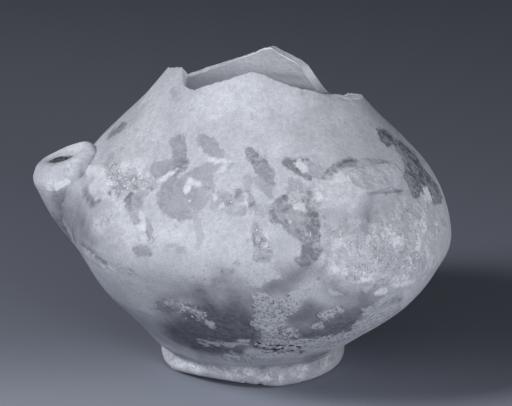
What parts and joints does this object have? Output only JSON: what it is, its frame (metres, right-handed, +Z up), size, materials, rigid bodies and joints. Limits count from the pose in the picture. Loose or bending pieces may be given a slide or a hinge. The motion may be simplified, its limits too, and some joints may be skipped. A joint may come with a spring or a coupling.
{
  "type": "spouted vessel",
  "caption": "Ancient thrown clay vessel with a ring foot, wide belly, short upward side spout, broken mouth and the stub of a lost handle.",
  "frame": {"origin": "on the table under the middle of the vessel's bounding box seen from above; the pot's own axis stands 2.6 mm towards +X from it", "axes": "+Z up along the pot's axis, +X from the spout side towards the side opposite the spout, -Y towards the front with the handle stub at its right"},
  "size_m": [0.1364, 0.1262, 0.103],
  "materials": {
    "slip": "matte pale slip with worn grey paint and lime crust",
    "washed_clay": "matte darker clay with lime crust",
    "bare_clay": "rough worn clay",
    "broken_clay": "coarse broken clay"
  },
  "bodies": {
    "vessel": {"foot_ring": "bare_clay", "lower_body": "washed_clay", "upper_body": "slip", "spout": "slip", "spout_luting": "slip", "handle_stub": "broken_clay", "handle_luting": "slip"}
  },
  "joints": []
}
